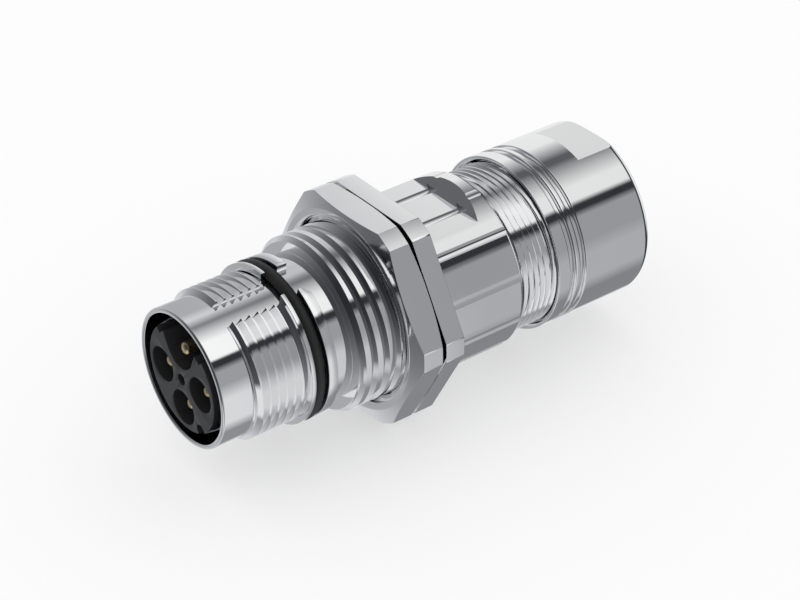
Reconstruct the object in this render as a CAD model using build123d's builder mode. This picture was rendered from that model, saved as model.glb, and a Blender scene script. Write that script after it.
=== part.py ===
from build123d import *
import os
from math import cos, radians, sin, sqrt, tan

os.makedirs("parts", exist_ok=True)

# Circular power coupler for a cable, with a hexagon flange and lock nut for a panel.
# Lengths are in millimetres. The connector lies along +Y: y = 0 is the mating face,
# the cable leaves towards +Y, and one pair of hexagon flats faces down to the floor.
# Every turned profile is drawn as (radius, y) and revolved about the Y axis.

# Mating sleeve and the interrupted coupling thread
sleeve_od = 15.6
sleeve_bore = 14.4
sleeve_edge = 0.15
coupling_od = 16.9
coupling_root_od = 15.7
coupling_pitch = 1.0
coupling_crests = 6
coupling_y = 3.75
thread_gap_angle = 22.0
thread_gap_middle = 17.5
collar_gap_angle = 26.0
collar_gap_middle = 14.0
gap_count = 2

# Collars that hold the front O-ring, and the neck behind them
collar_od = 18.0
front_collar_y = 10.05
front_collar_width = 0.5
o_ring_section = 1.3
o_ring_room = 0.35
o_ring_floor_od = 15.4
rear_collar_width = 1.15
collar_gap_floor_od = 16.0
collar_gap_run = 0.3
neck_od = 17.7
neck_end_y = 14.6

# Panel thread, hexagon flange and lock nut
panel_od = 19.9
panel_root_od = 18.4
panel_pitch = 1.5
panel_crests = 5
panel_crest_y = 15.35
panel_crest_flat = 0.6
flange_y = 24.0
flange_width = 2.35
hex_across_flats = 24.0
hex_corner_rise = 2.5
nut_width = 3.25
nut_rest_gap = 0.22
nut_face_step = 1.1
nut_chamfer_angle = 17.5
nut_countersink = 0.7
nut_clearance = 0.08
seal_width = 0.85
seal_wall = 0.8
seal_gap = 0.08
seal_clearance = 0.05

# Inside of the front shell
web_y = 8.2
web_width = 1.2
web_clearance = 0.05
insert_bore = 14.0
insert_seat_y = 14.5
shell_rear_bore = 16.4

# Contact insert with its wells
insert_face_od = 12.0
insert_slip = 0.05
well_od = 3.95
well_depth = 7.6
well_circle = 7.0
contact_count = 4
centre_hole_od = 1.3
pe_slot_od = 4.8
pe_slot_z = 3.9
pe_slot_flare = 25.0
pe_slot_mouth = 5.9
pe_lip_angle = 44.0
pe_lip_depth = 0.7
key_angle = 147.4
key_width = 1.35
key_depth = 1.05
insert_join_y = 13.2
insert_end_y = 16.0
insert_ring_section = 0.9
insert_ring_y = 11.2

# Contacts
pin_od = 1.2
pin_recess = 0.6
pe_pin_od = 1.44
pe_pin_recess = 0.45
contact_collar_od = 3.1
contact_collar_width = 0.7
contact_barrel_od = 2.5
contact_barrel_bore = 1.6
contact_barrel_depth = 5.0
contact_end_y = 24.0
contact_slip = 0.02

# Earth tag, clamp sleeve and the nose of the rear housing
tag_thickness = 0.3
tag_width = 3.6
clamp_sleeve_width = 2.9
sleeve_wall = 0.9
nose_slip = 0.05
nose_bore = 13.2
nose_bore_end_y = 28.0
housing_ring_section = 1.0
housing_ring_y = 25.1

# Rear housing
housing_od = 20.4
housing_end_y = 36.9
housing_end_round = 0.9
housing_bore = 14.0
wrench_flats = 17.0
wrench_wall_y = 34.15
wrench_wall_run = 1.2
line_size = 0.26
line_spacing = 30.0
flat_line_spacing = 5.2
gland_thread_step = 0.75
gland_thread_depth = 0.45
gland_pitch = 0.75
gland_crests = 10
gland_thread_y = 37.4
spigot_end_y = 45.4
spigot_wall = 1.25
spigot_shoulder_y = 36.8

# Gland nut and what it presses on
gland_y = 41.8
gland_end_y = 55.0
gland_clearance = 0.1
gland_mouth = 0.4
gland_thread_room_y = 49.3
gland_rear_wall = 1.5
gland_floor_y = 53.3
gland_opening = 11.2
gland_opening_edge = 0.6
gland_end_round = 0.6
gland_groove_y = 43.55
gland_groove_width = 0.6
gland_groove_step = 1.45
gland_groove_depth = 0.35
gland_grooves = 2
gland_flats = 19.0
gland_flat_y = 49.75
washer_thickness = 0.5
washer_clearance = 0.1
cage_clearance = 0.1
cage_front_y = 43.0
cage_wall = 1.25
cage_rear_wall = 1.0
cage_slots = 8
cage_slot_width = 1.0
cage_slot_stop = 2.6
seal_slip = 0.05
seal_bore = 8.8
seal_end_gap = 0.2
seal_groove_depth = 0.5
seal_grooves = 3
shield_ring_width = 2.3
shield_ring_bore = 10.8

# Places and sizes that follow from the ones above
groove_y = front_collar_y + front_collar_width
rear_collar_y = groove_y + o_ring_section + o_ring_room
rear_collar_end_y = rear_collar_y + rear_collar_width
hex_turned_od = hex_across_flats + hex_corner_rise
nut_face_od = hex_across_flats - nut_face_step
web_bore = insert_face_od + 2 * web_clearance
flange_end_y = flange_y + flange_width
nut_end_y = flange_y - nut_rest_gap
nut_y = nut_end_y - nut_width
tag_y = insert_end_y
clamp_y = tag_y + tag_thickness
nose_y = clamp_y + clamp_sleeve_width
nose_od = shell_rear_bore - 2 * nose_slip
insert_body_od = insert_bore - 2 * insert_slip
gland_thread_od = housing_od - 2 * gland_thread_step
spigot_bore = gland_thread_od - 2 * spigot_wall
gland_od = housing_od
gland_rear_bore = gland_od - 2 * gland_rear_wall
cage_od = spigot_bore - 2 * cage_clearance
washer_y = gland_floor_y - washer_thickness
cage_end_y = washer_y


def radial_plane(angle):
    """Plane through the Y axis: local x is the radius at this angle from the top."""
    a = radians(angle)
    return Plane(origin=(0, 0, 0), x_dir=(sin(a), 0, cos(a)), z_dir=(-cos(a), 0, sin(a)))


def section(y):
    """Cross-section plane at y: local x is X, local y is Z. Its normal is -Y."""
    return Plane.XZ.offset(-y)


def thread_teeth(start, pitch, count, crest_od, root_od, flat):
    """Profile points of the ridges of a thread, from its first flank to its last."""
    flank = (crest_od - root_od) / 2 * tan(radians(30))
    points = []
    for i in range(count):
        y = start + i * pitch
        points += [
            (root_od / 2, y),
            (crest_od / 2, y + flank),
            (crest_od / 2, y + flank + flat),
            (root_od / 2, y + 2 * flank + flat),
        ]
    return points


def turned(points):
    """Revolve a closed (radius, y) outline about the connector's axis."""
    with BuildSketch(radial_plane(0)) as profile:
        with BuildLine():
            Polyline(*points, close=True)
        make_face()
    revolve(profile.sketch, axis=Axis.Y)


def tube(y, length, outer, inner):
    """Plain turned ring."""
    turned([
        (inner / 2, y),
        (outer / 2, y),
        (outer / 2, y + length),
        (inner / 2, y + length),
    ])


def o_ring(y, section_od, floor_od):
    """Round rubber ring that lies on a groove floor."""
    with BuildSketch(radial_plane(0)) as profile:
        with Locations((floor_od / 2 + section_od / 2, y)):
            Circle(section_od / 2)
    revolve(profile.sketch, axis=Axis.Y)


def hexagon(y, length):
    """Hexagon with flats at the top and bottom, kept inside the turned profile."""
    with BuildSketch(section(y)) as outline:
        RegularPolygon(hex_across_flats / 2, 6, major_radius=False)
    extrude(outline.sketch, amount=-length, mode=Mode.INTERSECT)


def contact_spots():
    """Places of all contacts on the insert's face. The first is the earth pin's, on top."""
    return PolarLocations(well_circle / 2, contact_count, start_angle=90)


def power_spots():
    """Places of the contacts other than the earth pin."""
    step = 360 / contact_count
    return PolarLocations(
        well_circle / 2, contact_count - 1, start_angle=90 + step, angular_range=360 - step
    )


def ring_segments(points, gap_angle, gap_middle):
    """Revolve an outline into equal segments with open gaps between them."""
    for i in range(gap_count):
        with BuildSketch(radial_plane(gap_middle + gap_angle / 2 + i * 360 / gap_count)) as profile:
            with BuildLine():
                Polyline(*points, close=True)
            make_face()
        revolve(profile.sketch, axis=Axis.Y, revolution_arc=360 / gap_count - gap_angle)


# The front shell: one turned body with the sleeve, the panel thread and the flange.
# The hexagon is made first, so that only the flange meets it.
with BuildPart() as coupler_shell:
    tube(flange_y, flange_width, hex_turned_od, shell_rear_bore)
    hexagon(flange_y, flange_width)
    gap_end_y = rear_collar_end_y + collar_gap_run + (neck_od - collar_gap_floor_od) / 2
    turned(
        [
            (sleeve_bore / 2 + sleeve_edge, 0),
            (sleeve_od / 2 - sleeve_edge, 0),
            (sleeve_od / 2, sleeve_edge),
            (sleeve_od / 2, groove_y),
            (o_ring_floor_od / 2, groove_y),
            (o_ring_floor_od / 2, rear_collar_y),
            (collar_gap_floor_od / 2, rear_collar_y),
            (collar_gap_floor_od / 2, rear_collar_end_y + collar_gap_run),
            (neck_od / 2, gap_end_y),
            (neck_od / 2, neck_end_y),
            (panel_root_od / 2, neck_end_y + (panel_root_od - neck_od) / 2),
        ]
        + thread_teeth(
            panel_crest_y, panel_pitch, panel_crests, panel_od, panel_root_od, panel_crest_flat
        )
        + [
            (panel_root_od / 2, flange_y + flange_width / 2),
            (shell_rear_bore / 2, flange_y + flange_width / 2),
            (shell_rear_bore / 2, insert_seat_y),
            (insert_bore / 2, insert_seat_y),
            (insert_bore / 2, web_y + web_width),
            (web_bore / 2, web_y + web_width),
            (web_bore / 2, web_y),
            (sleeve_bore / 2, web_y),
            (sleeve_bore / 2, sleeve_edge),
        ]
    )
    # The quick-lock thread and both collars stand on the sleeve in equal segments,
    # with open gaps between them for the mating half to slide through.
    root_r = coupling_root_od / 2 - sleeve_edge
    ring_segments(
        [(root_r, coupling_y)]
        + thread_teeth(
            coupling_y,
            coupling_pitch,
            coupling_crests,
            coupling_od,
            coupling_root_od,
            coupling_pitch / 8,
        )
        + [(coupling_root_od / 2, front_collar_y), (root_r, front_collar_y)],
        thread_gap_angle,
        thread_gap_middle,
    )
    ring_segments(
        [
            (root_r, front_collar_y),
            (collar_od / 2, front_collar_y),
            (collar_od / 2, groove_y),
            (root_r, groove_y),
        ],
        collar_gap_angle,
        collar_gap_middle,
    )
    ring_segments(
        [
            (root_r, rear_collar_y),
            (collar_od / 2, rear_collar_y),
            (collar_od / 2, rear_collar_end_y),
            (neck_od / 2, rear_collar_end_y),
            (neck_od / 2, gap_end_y),
            (root_r, gap_end_y),
        ],
        collar_gap_angle,
        collar_gap_middle,
    )
coupler_shell.part.label = "coupler_shell"
export_step(coupler_shell.part, "parts/coupler_shell.step")

# Rubber ring between the two collars.
with BuildPart() as front_o_ring:
    o_ring(groove_y + o_ring_section / 2 + 0.05, o_ring_section, o_ring_floor_od)
front_o_ring.part.label = "front_o_ring"
export_step(front_o_ring.part, "parts/front_o_ring.step")

# The lock nut: coned on both sides, with a countersunk bore and a pocket for the seal.
bore_r = panel_od / 2 + nut_clearance
cone_drop = (hex_turned_od - nut_face_od) / 2 * tan(radians(nut_chamfer_angle))
seal_pocket_od = 2 * (bore_r + seal_wall + 2 * seal_clearance)
with BuildPart() as lock_nut:
    turned([
        (bore_r + nut_countersink, nut_y),
        (nut_face_od / 2, nut_y),
        (hex_turned_od / 2, nut_y + cone_drop),
        (hex_turned_od / 2, nut_end_y - cone_drop),
        (nut_face_od / 2, nut_end_y),
        (seal_pocket_od / 2, nut_end_y),
        (seal_pocket_od / 2, nut_end_y - seal_width + nut_rest_gap - seal_gap),
        (bore_r, nut_end_y - seal_width + nut_rest_gap - seal_gap),
        (bore_r, nut_y + nut_countersink),
    ])
    hexagon(nut_y, nut_width)
lock_nut.part.label = "lock_nut"
export_step(lock_nut.part, "parts/lock_nut.step")

# Flat seal that sits in the nut's pocket and meets the panel.
with BuildPart() as panel_seal:
    tube(
        flange_y - seal_gap - seal_width + seal_clearance,
        seal_width - seal_clearance,
        seal_pocket_od - 2 * seal_clearance,
        seal_pocket_od - 2 * seal_clearance - 2 * seal_wall,
    )
panel_seal.part.label = "panel_seal"
export_step(panel_seal.part, "parts/panel_seal.step")

# Front half of the insulator: a stem with three deep wells and a flared slot that is
# open to the outside, a coding groove along the stem, and a wider body that seats on
# the web.
pe_flare = radians(pe_slot_flare)
flare_x = pe_slot_od / 2 * cos(pe_flare)
flare_z = pe_slot_z - pe_slot_od / 2 * sin(pe_flare)
mouth_z = flare_z + (pe_slot_mouth / 2 - flare_x) / tan(pe_flare)
ring_groove_floor = insert_body_od - 2 * insert_ring_section + 2 * insert_slip
with BuildPart() as contact_insert:
    turned([
        (0, 0),
        (insert_face_od / 2, 0),
        (insert_face_od / 2, web_y + web_width),
        (insert_body_od / 2, web_y + web_width),
        (insert_body_od / 2, insert_ring_y - insert_ring_section / 2),
        (ring_groove_floor / 2, insert_ring_y - insert_ring_section / 2),
        (ring_groove_floor / 2, insert_ring_y + insert_ring_section / 2),
        (insert_body_od / 2, insert_ring_y + insert_ring_section / 2),
        (insert_body_od / 2, insert_join_y),
        (0, insert_join_y),
    ])
    with BuildSketch(section(0)):
        with power_spots():
            Circle(well_od / 2)
        with Locations((0, pe_slot_z)):
            Circle(pe_slot_od / 2)
        with BuildLine():
            Polyline(
                (flare_x, flare_z),
                (pe_slot_mouth / 2, mouth_z),
                (pe_slot_mouth / 2, insert_face_od / 2),
                (-pe_slot_mouth / 2, insert_face_od / 2),
                (-pe_slot_mouth / 2, mouth_z),
                (-flare_x, flare_z),
                close=True,
            )
        make_face()
    extrude(amount=-well_depth, mode=Mode.SUBTRACT)
    # Stepped lip on both sides of the slot's mouth
    with BuildSketch(section(0)):
        Circle(insert_face_od / 2 + pe_lip_depth)
        Circle(insert_face_od / 2 - pe_lip_depth, mode=Mode.SUBTRACT)
        with BuildLine():
            lip_x = insert_face_od * sin(radians(pe_lip_angle))
            lip_z = insert_face_od * cos(radians(pe_lip_angle))
            Polyline((0, 0), (lip_x, lip_z), (-lip_x, lip_z), close=True)
        make_face(mode=Mode.INTERSECT)
    extrude(amount=-web_y, mode=Mode.SUBTRACT)
    # Coding groove with a round floor
    with BuildSketch(section(0)):
        with PolarLocations(insert_face_od / 2, 1, start_angle=90 - key_angle):
            SlotCenterToCenter(2 * key_depth - key_width, key_width)
    extrude(amount=-web_y, mode=Mode.SUBTRACT)
    # Centre hole, and the holes that the pins and their collars sit in
    with BuildSketch(section(0)):
        Circle(centre_hole_od / 2)
    extrude(amount=-web_y, mode=Mode.SUBTRACT)
    with BuildSketch(section(0)):
        with power_spots():
            Circle(pin_od / 2 + contact_slip)
        with Locations((0, well_circle / 2)):
            Circle(pe_pin_od / 2 + contact_slip)
    extrude(amount=-insert_join_y, mode=Mode.SUBTRACT)
    with BuildSketch(section(insert_join_y)):
        with contact_spots():
            Circle(contact_collar_od / 2 + contact_slip)
    extrude(amount=contact_collar_width, mode=Mode.SUBTRACT)
contact_insert.part.label = "contact_insert"
export_step(contact_insert.part, "parts/contact_insert.step")

with BuildPart() as insert_o_ring:
    o_ring(insert_ring_y, insert_ring_section, ring_groove_floor)
insert_o_ring.part.label = "insert_o_ring"
export_step(insert_o_ring.part, "parts/insert_o_ring.step")

# Rear half of the insulator, which holds the contacts' collars and seats in the shell.
with BuildPart() as insert_back:
    turned([
        (0, insert_join_y),
        (insert_body_od / 2, insert_join_y),
        (insert_body_od / 2, insert_seat_y),
        (nose_od / 2, insert_seat_y),
        (nose_od / 2, insert_end_y),
        (0, insert_end_y),
    ])
    with BuildSketch(section(insert_join_y)):
        with contact_spots():
            Circle(contact_barrel_od / 2 + contact_slip)
    extrude(amount=insert_join_y - insert_end_y, mode=Mode.SUBTRACT)
insert_back.part.label = "insert_back"
export_step(insert_back.part, "parts/insert_back.step")


def contact(name, spot, size, recess):
    """Turned pin with a round tip, a collar that is trapped, and a hollow barrel."""
    tip = size / 2
    collar_y = insert_join_y - contact_collar_width
    with BuildPart() as pin:
        with BuildSketch(radial_plane(0)) as profile:
            with BuildLine():
                arc_end = (tip, recess + tip)
                ThreePointArc(
                    (0, recess), (tip * sin(radians(45)), recess + tip * (1 - cos(radians(45)))),
                    arc_end,
                )
                Polyline(
                    arc_end,
                    (tip, collar_y),
                    (contact_collar_od / 2, collar_y),
                    (contact_collar_od / 2, insert_join_y),
                    (contact_barrel_od / 2, insert_join_y),
                    (contact_barrel_od / 2, contact_end_y),
                    (contact_barrel_bore / 2, contact_end_y),
                    (contact_barrel_bore / 2, contact_end_y - contact_barrel_depth),
                    (0, contact_end_y - contact_barrel_depth),
                    (0, recess),
                )
            make_face()
        revolve(profile.sketch, axis=Axis.Y)
    placed = Pos(spot.X, 0, spot.Z) * pin.part
    placed.label = name
    export_step(placed, f"parts/{name}.step")


# The protective earth pin is the top one. It is thicker and stands further forward.
for i, name in enumerate(["contact_pe", "contact_1", "contact_2", "contact_3"]):
    angle = radians(i * 360 / contact_count)
    spot = Vector(well_circle / 2 * sin(angle), 0, well_circle / 2 * cos(angle))
    if i == 0:
        contact(name, spot, pe_pin_od, pe_pin_recess)
    else:
        contact(name, spot, pin_od, pin_recess)

# Sheet tag that joins the earth contact to the metal shell.
with BuildPart() as earth_tag:
    tube(tag_y, tag_thickness, nose_od, nose_od - 2 * sleeve_wall)
    with BuildSketch(section(tag_y)):
        with Locations((0, well_circle / 2)):
            Circle(tag_width / 2)
            Rectangle(tag_width, nose_od / 2 - sleeve_wall / 2 - well_circle / 2,
                      align=(Align.CENTER, Align.MIN))
    extrude(amount=-tag_thickness)
    with BuildSketch(section(tag_y)):
        with Locations((0, well_circle / 2)):
            Circle(contact_barrel_od / 2 + contact_slip)
    extrude(amount=-tag_thickness, mode=Mode.SUBTRACT)
earth_tag.part.label = "earth_tag"
export_step(earth_tag.part, "parts/earth_tag.step")

# Sleeve that the rear housing presses against the insulator.
with BuildPart() as clamp_sleeve:
    tube(clamp_y, clamp_sleeve_width, nose_od, nose_od - 2 * sleeve_wall)
clamp_sleeve.part.label = "clamp_sleeve"
export_step(clamp_sleeve.part, "parts/clamp_sleeve.step")

# Rear housing: nose in the shell, barrel with two wrench flats, and the gland thread.
nose_groove_floor = shell_rear_bore - 2 * housing_ring_section
gland_root_od = gland_thread_od - 2 * gland_thread_depth
with BuildPart() as rear_housing:
    turned(
        [
            (nose_bore / 2, nose_y),
            (nose_od / 2, nose_y),
            (nose_od / 2, housing_ring_y - housing_ring_section / 2),
            (nose_groove_floor / 2, housing_ring_y - housing_ring_section / 2),
            (nose_groove_floor / 2, housing_ring_y + housing_ring_section / 2),
            (nose_od / 2, housing_ring_y + housing_ring_section / 2),
            (nose_od / 2, flange_end_y),
            (housing_od / 2, flange_end_y),
            (housing_od / 2, housing_end_y),
            (gland_root_od / 2, housing_end_y),
        ]
        + thread_teeth(
            gland_thread_y,
            gland_pitch,
            gland_crests,
            gland_thread_od,
            gland_root_od,
            gland_pitch / 8,
        )
        + [
            (gland_root_od / 2, spigot_end_y),
            (spigot_bore / 2, spigot_end_y),
            (spigot_bore / 2, spigot_shoulder_y),
            (housing_bore / 2, spigot_shoulder_y),
            (housing_bore / 2, nose_bore_end_y),
            (nose_bore / 2, nose_bore_end_y),
        ]
    )
    # Rounded rear edge of the barrel
    rear_edges = (
        rear_housing.edges()
        .filter_by(GeomType.CIRCLE)
        .filter_by(lambda e: abs(e.radius - housing_od / 2) < 0.01)
        .sort_by(Axis.Y)[-1:]
    )
    fillet(rear_edges, housing_end_round)
    # Wrench flats on the top and bottom, each ending in a sloped wall
    flat_h = wrench_flats / 2
    rise = housing_od / 2 - flat_h
    for side in (1, -1):
        with BuildSketch(Plane.YZ):
            with BuildLine():
                Polyline(
                    (flange_end_y, side * flat_h),
                    (wrench_wall_y, side * flat_h),
                    (wrench_wall_y + wrench_wall_run, side * (flat_h + rise)),
                    (wrench_wall_y + wrench_wall_run, side * (flat_h + rise + 1)),
                    (flange_end_y, side * (flat_h + rise + 1)),
                    close=True,
                )
            make_face()
        extrude(amount=housing_od, both=True, mode=Mode.SUBTRACT)
    # Fine lines scored along the barrel and across the flats
    line_angles = [90 * q + d for q in range(4) for d in (-line_spacing / 2, line_spacing / 2, 45)]
    with BuildSketch(section(flange_end_y)):
        for angle in line_angles:
            with PolarLocations(housing_od / 2, 1, start_angle=angle):
                Rectangle(line_size, line_size, rotation=45)
    extrude(amount=flange_end_y - housing_end_y, mode=Mode.SUBTRACT)
    with BuildSketch(section(flange_end_y)):
        with GridLocations(flat_line_spacing, wrench_flats, 2, 2):
            Rectangle(line_size, line_size, rotation=45)
    extrude(amount=flange_end_y - wrench_wall_y, mode=Mode.SUBTRACT)
rear_housing.part.label = "rear_housing"
export_step(rear_housing.part, "parts/rear_housing.step")

with BuildPart() as housing_o_ring:
    o_ring(housing_ring_y, housing_ring_section - 0.02, nose_groove_floor)
housing_o_ring.part.label = "housing_o_ring"
export_step(housing_o_ring.part, "parts/housing_o_ring.step")

# Gland nut: two grooves in the skirt and two wrench flats behind.
gland_bore_r = gland_thread_od / 2 + gland_clearance
gland_r = gland_od / 2
groove_walls = []
for i in range(gland_grooves):
    y = gland_groove_y + i * gland_groove_step
    floor_r = gland_r - gland_groove_depth
    groove_walls += [(gland_r, y), (floor_r, y), (floor_r, y + gland_groove_width),
                     (gland_r, y + gland_groove_width)]
with BuildPart() as gland_nut:
    turned(
        [(gland_bore_r + gland_mouth, gland_y), (gland_r - 0.1, gland_y), (gland_r, gland_y + 0.1)]
        + groove_walls
        + [
            (gland_r, gland_end_y),
            (gland_opening / 2 + gland_opening_edge, gland_end_y),
            (gland_opening / 2, gland_end_y - gland_opening_edge),
            (gland_opening / 2, gland_floor_y),
            (gland_rear_bore / 2, gland_floor_y),
            (gland_rear_bore / 2, gland_thread_room_y),
            (gland_bore_r, gland_thread_room_y),
            (gland_bore_r, gland_y + gland_mouth),
        ]
    )
    end_edge = (
        gland_nut.edges()
        .filter_by(GeomType.CIRCLE)
        .filter_by(lambda e: abs(e.radius - gland_r) < 0.01)
        .sort_by(Axis.Y)[-1:]
    )
    fillet(end_edge, gland_end_round)
    for side in (1, -1):
        with BuildSketch(section(gland_flat_y)):
            with Locations((0, side * (gland_flats / 2 + gland_r))):
                Rectangle(gland_od, gland_od)
        extrude(amount=gland_flat_y - gland_end_y, mode=Mode.SUBTRACT)
gland_nut.part.label = "gland_nut"
export_step(gland_nut.part, "parts/gland_nut.step")

# Slip washer between the turning nut and the cage, which does not turn.
with BuildPart() as slip_washer:
    tube(washer_y + 0.05, washer_thickness - 0.1, gland_rear_bore - 2 * washer_clearance, gland_opening)
slip_washer.part.label = "slip_washer"
export_step(slip_washer.part, "parts/slip_washer.step")

# Slotted cage round the cable seal, closed behind by a wall that the cable passes.
seal_od = cage_od - 2 * cage_wall
with BuildPart() as clamp_cage:
    turned([
        (seal_od / 2, cage_front_y),
        (cage_od / 2, cage_front_y),
        (cage_od / 2, cage_end_y - cage_rear_wall),
        (gland_rear_bore / 2 - washer_clearance, cage_end_y - cage_rear_wall),
        (gland_rear_bore / 2 - washer_clearance, cage_end_y),
        (gland_opening / 2, cage_end_y),
        (gland_opening / 2, cage_end_y - cage_rear_wall),
        (seal_od / 2, cage_end_y - cage_rear_wall),
    ])
    with BuildSketch(section(cage_front_y)):
        with PolarLocations(cage_od / 2, cage_slots):
            Rectangle(2 * cage_wall + 0.6, cage_slot_width)
    extrude(amount=cage_front_y - cage_end_y + cage_slot_stop, mode=Mode.SUBTRACT)
clamp_cage.part.label = "clamp_cage"
export_step(clamp_cage.part, "parts/clamp_cage.step")

# Soft seal that grips the cable, with shallow grooves in its bore.
seal_y = cage_front_y
seal_end_y = cage_end_y - cage_rear_wall - seal_end_gap
seal_step = (seal_end_y - seal_y) / (2 * seal_grooves + 1)
seal_bore_walls = []
for i in range(seal_grooves):
    y = seal_end_y - (2 * i + 1) * seal_step
    seal_bore_walls += [
        (seal_bore / 2, y),
        (seal_bore / 2 + seal_groove_depth, y),
        (seal_bore / 2 + seal_groove_depth, y - seal_step),
        (seal_bore / 2, y - seal_step),
    ]
with BuildPart() as cable_seal:
    turned(
        [(seal_bore / 2, seal_y), (seal_od / 2 - seal_slip, seal_y),
         (seal_od / 2 - seal_slip, seal_end_y), (seal_bore / 2, seal_end_y)]
        + seal_bore_walls
    )
cable_seal.part.label = "cable_seal"
export_step(cable_seal.part, "parts/cable_seal.step")

# Ring in front of the seal that clamps a cable's braid.
with BuildPart() as shield_ring:
    tube(cage_front_y - shield_ring_width, shield_ring_width, cage_od, shield_ring_bore)
shield_ring.part.label = "shield_ring"
export_step(shield_ring.part, "parts/shield_ring.step")
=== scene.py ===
import bpy
import bmesh
from math import acos, asin, ceil, cos, degrees, pi, radians, sin, sqrt, tan
from mathutils import Matrix, Vector


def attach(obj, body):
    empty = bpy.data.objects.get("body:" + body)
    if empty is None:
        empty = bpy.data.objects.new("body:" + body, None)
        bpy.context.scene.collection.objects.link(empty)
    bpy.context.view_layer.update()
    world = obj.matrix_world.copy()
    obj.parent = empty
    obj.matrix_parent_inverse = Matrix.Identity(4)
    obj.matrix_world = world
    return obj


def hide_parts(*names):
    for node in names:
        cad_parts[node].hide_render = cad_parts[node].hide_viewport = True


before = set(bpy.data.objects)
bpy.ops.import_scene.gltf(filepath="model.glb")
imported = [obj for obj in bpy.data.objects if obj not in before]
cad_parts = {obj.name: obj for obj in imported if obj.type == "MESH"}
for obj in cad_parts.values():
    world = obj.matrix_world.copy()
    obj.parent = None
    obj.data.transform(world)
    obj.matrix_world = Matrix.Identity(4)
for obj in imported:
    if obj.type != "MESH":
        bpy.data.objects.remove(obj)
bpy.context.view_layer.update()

# A bright nickel cable coupler that lies on a pale floor. Shapes are worked out in
# millimetres and written in metres. The connector's axis is Y, the mating face is at
# y = 0, and an angle is measured about Y from the top (+Z) towards +X.
MM = 0.001
SEGMENTS = 256
EDGE_PARTS = 2
TURNING_DEPTH, SKIN_DEPTH = 0.00001, 0.00002


def place(radius, y, angle):
    """Point in metres at a radius, a station along the axis and an angle in degrees."""
    a = radians(angle)
    return Vector((radius * sin(a), y, radius * cos(a))) * MM


def new_object(name, bm):
    mesh = bpy.data.meshes.new(name)
    bm.to_mesh(mesh)
    bm.free()
    obj = bpy.data.objects.new(name, mesh)
    bpy.context.scene.collection.objects.link(obj)
    return obj


def rounded(points):
    """Outline of (radius, y, corner) with each corner replaced by a small arc.

    An arc takes at most 0.45 of the edge on either side."""
    out = []
    count = len(points)
    for i, (r, y, corner) in enumerate(points):
        here = Vector((r, y))
        if corner <= 0:
            out.append((r, y))
            continue
        before = Vector(points[i - 1][:2]) - here
        after = Vector(points[(i + 1) % count][:2]) - here
        reach = min(corner, before.length * 0.45, after.length * 0.45)
        start = here + before.normalized() * reach
        end = here + after.normalized() * reach
        steps = 4 if reach < 0.25 else 12
        for step in range(steps + 1):
            t = step / steps
            p = start * (1 - t) ** 2 + here * (2 * t * (1 - t)) + end * t ** 2
            out.append((p.x, p.y))
    return out


def milled(angle, r, side, gap):
    """Angle of an end wall that a straight milled gap leaves, with parallel walls.

    gap is the radius where the wall begins and half the gap's angle there."""
    base, half = gap
    return angle + side * (half - degrees(asin(base * sin(radians(half)) / max(r, base))))


def lathe(name, points, start=0.0, arc=360.0, segments=SEGMENTS, back=None, gap=(1.0, 0.0)):
    """Revolve a closed outline about the axis. A part turn gets end walls.

    back(r, y, angle) may move a point's station, for a corner at the end of a part turn."""
    outline = rounded(points)
    whole = arc > 359.9
    steps = segments if whole else max(8, int(segments * arc / 360))
    bm = bmesh.new()
    rings = []
    for j in range(steps if whole else steps + 1):
        angle = start + arc * j / steps
        moved = [(r, back(r, y, angle - start) if back else y) for r, y in outline]
        side = 0 if whole else (j == steps) - (j == 0)
        rings.append([bm.verts.new(place(r, y, milled(angle, r, side, gap))) for r, y in moved])
    pairs = len(rings) if whole else len(rings) - 1
    n = len(outline)
    for j in range(pairs):
        a, b = rings[j], rings[(j + 1) % len(rings)]
        for i in range(n):
            k = (i + 1) % n
            bm.faces.new((a[i], a[k], b[k], b[i]))
    if not whole:
        bm.faces.new(rings[0][::-1])
        bm.faces.new(rings[-1])
    bmesh.ops.remove_doubles(bm, verts=bm.verts, dist=1e-7)
    bmesh.ops.recalc_face_normals(bm, faces=bm.faces)
    return new_object(name, bm)


def prism(name, outline, y0, y1):
    """Straight bar along the axis from an (x, z) outline."""
    bm = bmesh.new()
    rows = [[bm.verts.new(Vector((x, y, z)) * MM) for x, z in outline] for y in (y0, y1)]
    n = len(outline)
    for i in range(n):
        k = (i + 1) % n
        bm.faces.new((rows[0][i], rows[0][k], rows[1][k], rows[1][i]))
    bm.faces.new(rows[0][::-1])
    bm.faces.new(rows[1])
    bmesh.ops.recalc_face_normals(bm, faces=bm.faces)
    return new_object(name, bm)


def regular(sides, apothem):
    """Outline of a regular polygon with one side's middle at the top."""
    r = apothem / cos(pi / sides)
    spots = [pi / sides + 2 * pi * i / sides for i in range(sides)]
    return [(r * sin(a), r * cos(a)) for a in spots]


def circle_at(x, z, radius, count=64):
    """Outline of a circle as a polygon."""
    turn = [2 * pi * t / count for t in range(count)]
    return [(x + radius * sin(a), z + radius * cos(a)) for a in turn]


def apply_modifiers(obj):
    deps = bpy.context.evaluated_depsgraph_get()
    mesh = bpy.data.meshes.new_from_object(obj.evaluated_get(deps), depsgraph=deps)
    obj.modifiers.clear()
    old = obj.data
    obj.data = mesh
    bpy.data.meshes.remove(old)


def cut(obj, tool, operation="DIFFERENCE"):
    """Boolean with a tool object, which is then deleted."""
    mod = obj.modifiers.new("cut", "BOOLEAN")
    mod.operation = operation
    mod.solver = "EXACT"
    mod.object = tool
    apply_modifiers(obj)
    bpy.data.objects.remove(tool)


def join(name, pieces):
    """One object from several, with their meshes side by side."""
    bm = bmesh.new()
    for piece in pieces:
        bm.from_mesh(piece.data)
        bpy.data.objects.remove(piece)
    return new_object(name, bm)


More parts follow.
